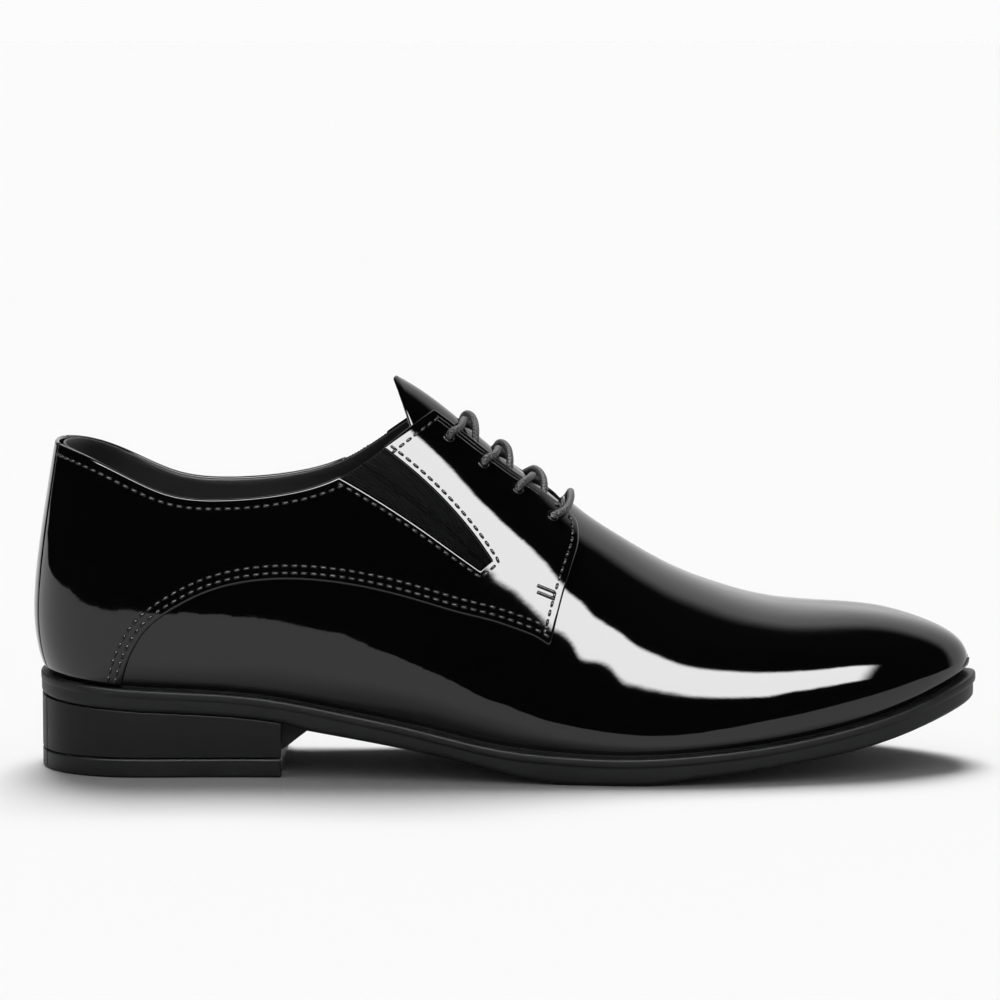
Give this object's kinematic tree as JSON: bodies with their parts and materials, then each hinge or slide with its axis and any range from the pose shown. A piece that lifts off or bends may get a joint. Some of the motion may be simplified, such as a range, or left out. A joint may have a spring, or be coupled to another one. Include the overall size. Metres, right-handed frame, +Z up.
{
  "type": "elevator dress shoe",
  "caption": "Right patent leather derby dress shoe with elastic gores, laced over a tongue, on a moulded rubber sole with a block heel and a raised insole inside.",
  "frame": {"origin": "on the floor, under the middle of the whole shoe", "axes": "+X towards the toe along the sole, +Y towards the inner side of the foot, +Z up from the floor"},
  "size_m": [0.308, 0.1034, 0.1265],
  "materials": {
    "sole_rubber": "satin moulded",
    "patent_leather": "high gloss patent",
    "lining_leather": "matt",
    "elastic": "ribbed webbing",
    "lace": "round braided, waxed"
  },
  "bodies": {
    "root": {"outsole": "sole_rubber", "heel_block": "sole_rubber", "heel_top_piece": "sole_rubber", "upper": "patent_leather", "tongue": "patent_leather", "insole": "lining_leather", "quarter_lateral": "patent_leather", "quarter_medial": "patent_leather", "backstay": "patent_leather", "gore_lateral": "elastic", "gore_medial": "elastic", "lace_bar": "lace", "lace_cross_1": "lace", "lace_cross_2": "lace", "lace_cross_3": "lace"}
  },
  "joints": []
}
